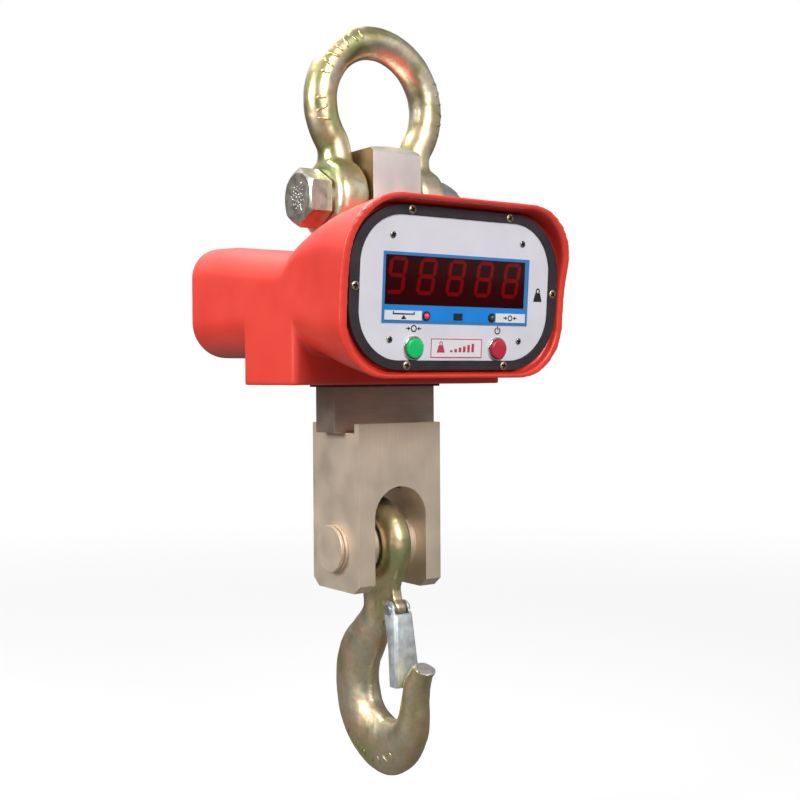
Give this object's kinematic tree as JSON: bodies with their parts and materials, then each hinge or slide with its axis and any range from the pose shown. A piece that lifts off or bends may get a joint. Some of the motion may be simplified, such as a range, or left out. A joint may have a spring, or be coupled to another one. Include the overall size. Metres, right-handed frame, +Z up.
{
  "type": "crane scale",
  "caption": "Hanging crane scale: bow shackle on top, red cast housing with a leaning digital display and two push buttons, steel load block and a swinging eye hook with a sprung safety latch.",
  "frame": {"origin": "inside top of the shackle bow, where the crane hook bears, on the load line", "axes": "+Z up along the load line, X along the shackle pin and the hook pin, the display faces -Y"},
  "size_m": [0.23, 0.2955, 0.6591],
  "materials": {
    "yellow_zinc": "satin iridescent zinc plate",
    "bright_zinc": "satin zinc plate",
    "nickel_steel": "brushed nickel plate",
    "lug_steel": "machined bright",
    "cell_steel": "dark machined",
    "black_oxide": "black oxide",
    "plain_steel": "satin",
    "red_paint": "satin",
    "black_rubber": "matte",
    "white_plate": "satin",
    "blue_frame": "satin",
    "blue_strip": "satin",
    "label_white": "satin",
    "red_window": "gloss",
    "digit_black": "matte",
    "digit_red": "lit",
    "board_green": "satin",
    "part_black": "matte",
    "lamp_red": "gloss",
    "lamp_green": "gloss",
    "button_green": "satin",
    "button_red": "satin",
    "ring_chrome": "polished",
    "brass_screw": "satin",
    "battery_case": "matte",
    "latch_zinc": "blue zinc plate"
  },
  "bodies": {
    "shackle": {"shackle_bow": "yellow_zinc", "shackle_pin": "bright_zinc", "shackle_nut": "bright_zinc", "shackle_cotter": "bright_zinc"},
    "scale": {"upper_lug": "lug_steel", "lug_pin": "plain_steel", "load_cell": "cell_steel", "gauge_covers": "plain_steel", "cell_cable": "part_black", "mount_frame": "plain_steel", "frame_screws": "plain_steel", "lower_block": "nickel_steel", "hanger_bolt": "black_oxide", "hook_pin": "nickel_steel", "hook_pin_circlip": "black_oxide", "hook_spacers": "nickel_steel", "housing_shell": "red_paint", "top_seal": "black_rubber", "bottom_seal": "black_rubber", "rear_gasket": "black_rubber", "rear_cover": "red_paint", "rear_screws": "plain_steel", "charge_socket": "ring_chrome", "battery": "battery_case", "battery_strap": "plain_steel", "panel_gasket": "black_rubber", "gasket_screws": "brass_screw", "face_plate": "white_plate", "plate_screws": "plain_steel", "display_bezel": "blue_frame", "legend_strip": "blue_strip", "led_labels": "label_white", "display_window": "red_window", "digit_modules": "digit_black", "digit_segments": "digit_red", "display_board": "board_green", "board_spacers": "plain_steel", "driver_board": "board_green", "board_parts": "part_black", "led_rings": "part_black", "led_steady": "lamp_red", "led_tare": "lamp_green", "ir_receiver": "part_black", "capacity_label": "label_white", "button_rings": "ring_chrome", "switch_bodies": "part_black", "button_springs": "plain_steel"},
    "hook": {"hook": "yellow_zinc", "latch_pin": "bright_zinc"},
    "latch": {"latch": "latch_zinc", "latch_spring": "plain_steel"},
    "tare_button": {"tare_button": "button_green"},
    "power_button": {"power_button": "button_red"}
  },
  "joints": [
    {"name": "shackle_swing", "type": "hinge", "parent": "shackle", "child": "scale", "pos_m": [0, 0, -0.1265], "axis": [1, 0, 0], "range_deg": [-80, 80]},
    {"name": "hook_swing", "type": "hinge", "parent": "scale", "child": "hook", "pos_m": [0, 0, -0.4275], "axis": [1, 0, 0], "range_deg": [-90, 90]},
    {"name": "latch_hinge", "type": "hinge", "parent": "hook", "child": "latch", "pos_m": [0, -0.0303, -0.4805], "axis": [1, 0, 0], "range_deg": [0, 26], "stiffness_Nm_per_rad": 0.06, "springref_deg": -34.38},
    {"name": "tare_button_press", "type": "slide", "parent": "scale", "child": "tare_button", "axis": [0, 0.9973, 0.0741], "range_m": [0, 0.0025], "stiffness_N_per_m": 400, "springref_m": -0.0015},
    {"name": "power_button_press", "type": "slide", "parent": "scale", "child": "power_button", "axis": [0, 0.9973, 0.0741], "range_m": [0, 0.0025], "stiffness_N_per_m": 400, "springref_m": -0.0015}
  ]
}
